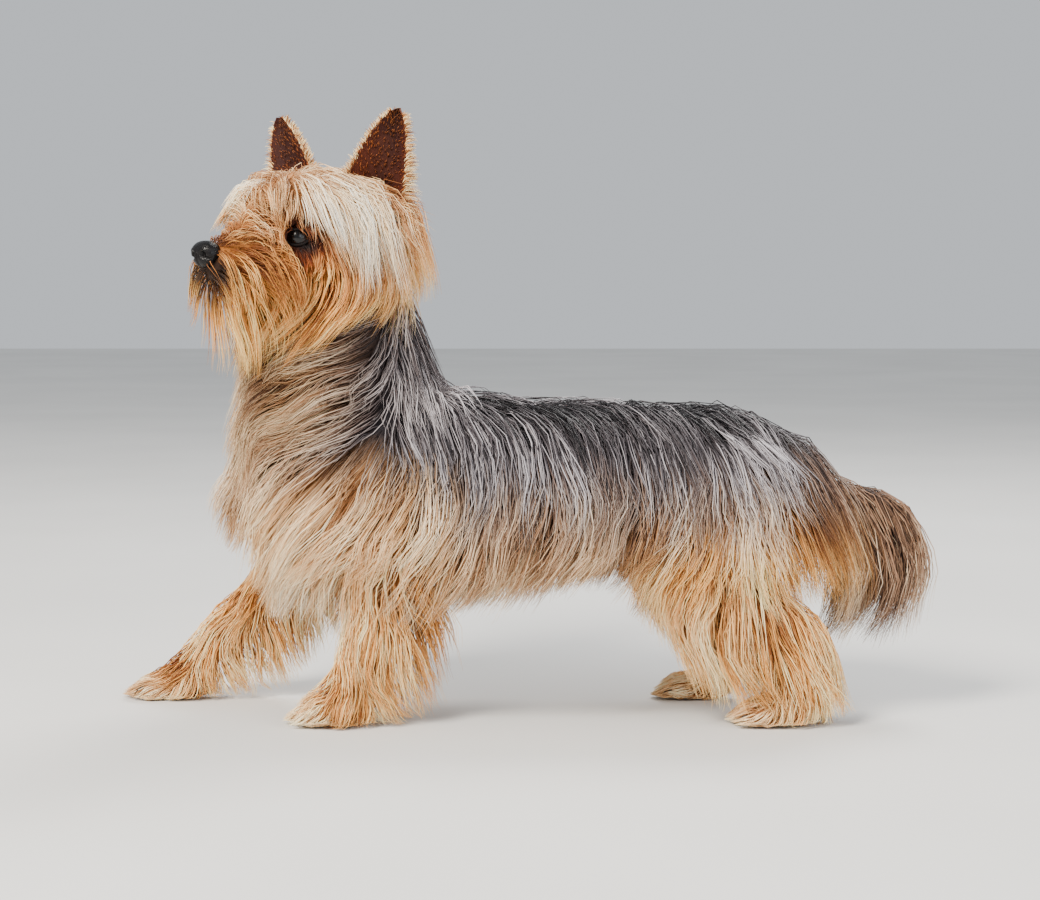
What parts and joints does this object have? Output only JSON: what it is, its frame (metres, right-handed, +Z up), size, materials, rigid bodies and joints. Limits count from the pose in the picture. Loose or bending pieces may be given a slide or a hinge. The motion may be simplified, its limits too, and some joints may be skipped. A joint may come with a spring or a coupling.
{
  "type": "yorkshire terrier",
  "caption": "Still life-size model of a long-coated small terrier in mid-stride, its head turned to its left, that stands on the flat soles of its paws.",
  "frame": {"origin": "on the floor under the middle of the dog's bounding box", "axes": "+Z up; -X is the way the dog walks; -Y is the dog's left side, towards which its head is turned"},
  "size_m": [0.5195, 0.1699, 0.3846],
  "materials": {
    "golden_coat": "long golden tan hair",
    "steel_coat": "long steel grey hair that pales to cream at its tips",
    "cream_coat": "wavy cream tan hair",
    "taupe_coat": "long grey brown hair",
    "ear_skin": "dark thin skin with short tan hair",
    "eye": "wet dark brown",
    "nose_pad": "moist black pebbled skin"
  },
  "bodies": {
    "root": {"head": "golden_coat", "nose": "nose_pad", "left_eye": "eye", "right_eye": "eye", "left_ear": "ear_skin", "right_ear": "ear_skin", "neck": "steel_coat", "torso": "steel_coat", "tail": "taupe_coat", "left_foreleg": "cream_coat", "right_foreleg": "cream_coat", "left_hind_leg": "cream_coat", "right_hind_leg": "cream_coat", "left_forepaw": "cream_coat", "right_forepaw": "cream_coat", "left_hind_paw": "cream_coat", "right_hind_paw": "cream_coat"}
  },
  "joints": []
}
